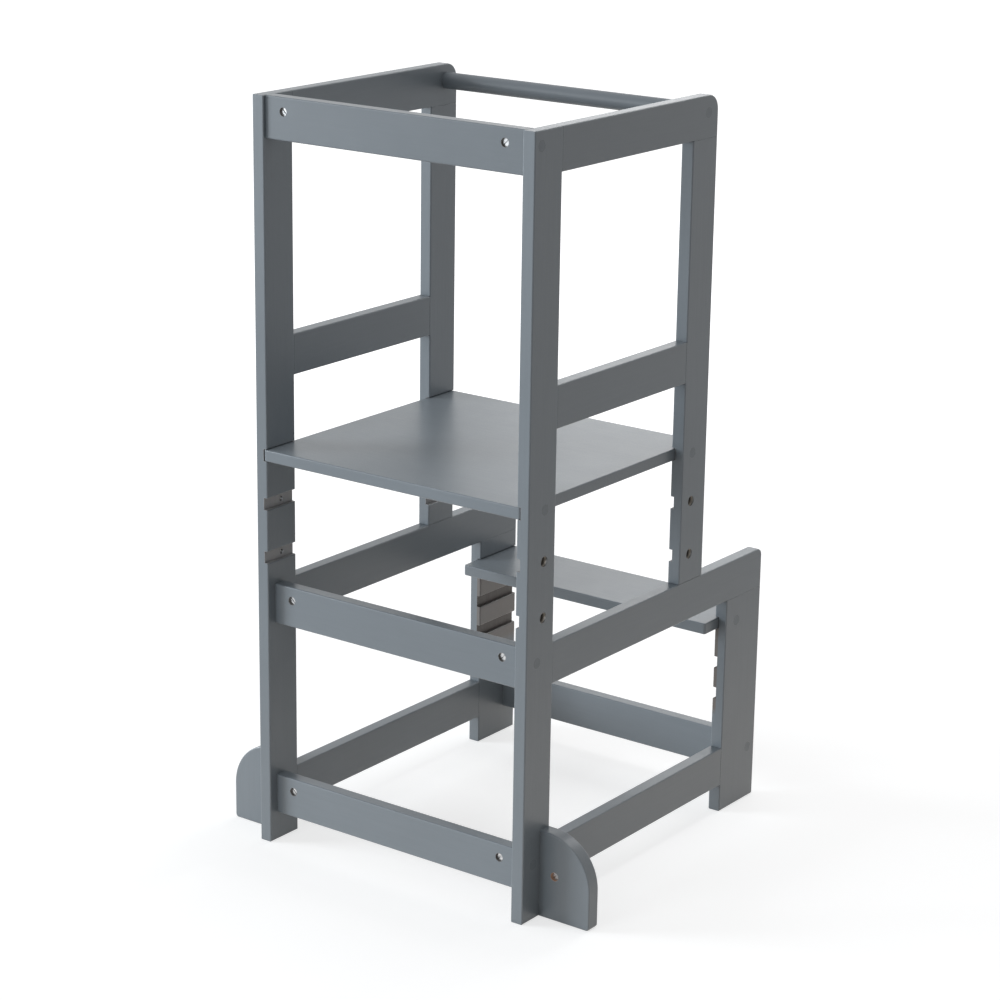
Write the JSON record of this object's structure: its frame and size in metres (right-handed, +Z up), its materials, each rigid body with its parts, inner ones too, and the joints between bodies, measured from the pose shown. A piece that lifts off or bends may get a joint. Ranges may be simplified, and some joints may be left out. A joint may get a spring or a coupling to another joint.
{
  "type": "toddler kitchen helper stool",
  "caption": "Tall painted wooden stool that lets a small child stand at worktop height inside guard rails, with a step, grab bar and grooves for other board heights.",
  "frame": {"origin": "on the floor, under the middle of the stool's overall box", "axes": "+Z up; +X across the stool, through both side frames, which mirror each other in the plane x = 0; +Y from the counter side, with three cross rails, to the side with the step where the child climbs in"},
  "size_m": [0.528, 0.492, 0.9],
  "materials": {
    "painted_wood": "slate grey satin paint on solid wood",
    "bare_wood": "plain beech, unfinished",
    "zinc_steel": "bright zinc plate",
    "cap_plastic": "matt, coloured to match the paint"
  },
  "bodies": {
    "root": {"counter_post_left": "painted_wood", "counter_post_right": "painted_wood", "entry_post_left": "painted_wood", "entry_post_right": "painted_wood", "step_post_left": "painted_wood", "step_post_right": "painted_wood", "top_side_rail_left": "painted_wood", "top_side_rail_right": "painted_wood", "guard_side_rail_left": "painted_wood", "guard_side_rail_right": "painted_wood", "lower_side_rail_left": "painted_wood", "lower_side_rail_right": "painted_wood", "bottom_side_rail_left": "painted_wood", "bottom_side_rail_right": "painted_wood", "stabilizer_left": "painted_wood", "stabilizer_right": "painted_wood", "top_cross_rail": "painted_wood", "middle_cross_rail": "painted_wood", "bottom_cross_rail": "painted_wood", "step_cross_rail": "painted_wood", "grab_bar": "painted_wood", "platform_board": "painted_wood", "step_board": "painted_wood", "frame_dowels_left": "bare_wood", "frame_dowels_right": "bare_wood", "rail_dowels": "bare_wood", "stabilizer_dowels": "bare_wood", "rail_bolts": "zinc_steel", "platform_bolts": "zinc_steel", "step_bolts": "zinc_steel", "stabilizer_bolts": "zinc_steel", "bar_screws": "zinc_steel", "rail_barrel_nuts": "zinc_steel", "platform_barrel_nuts": "zinc_steel", "step_barrel_nuts": "zinc_steel", "stabilizer_barrel_nuts": "zinc_steel", "cover_caps": "cap_plastic"}
  },
  "joints": []
}
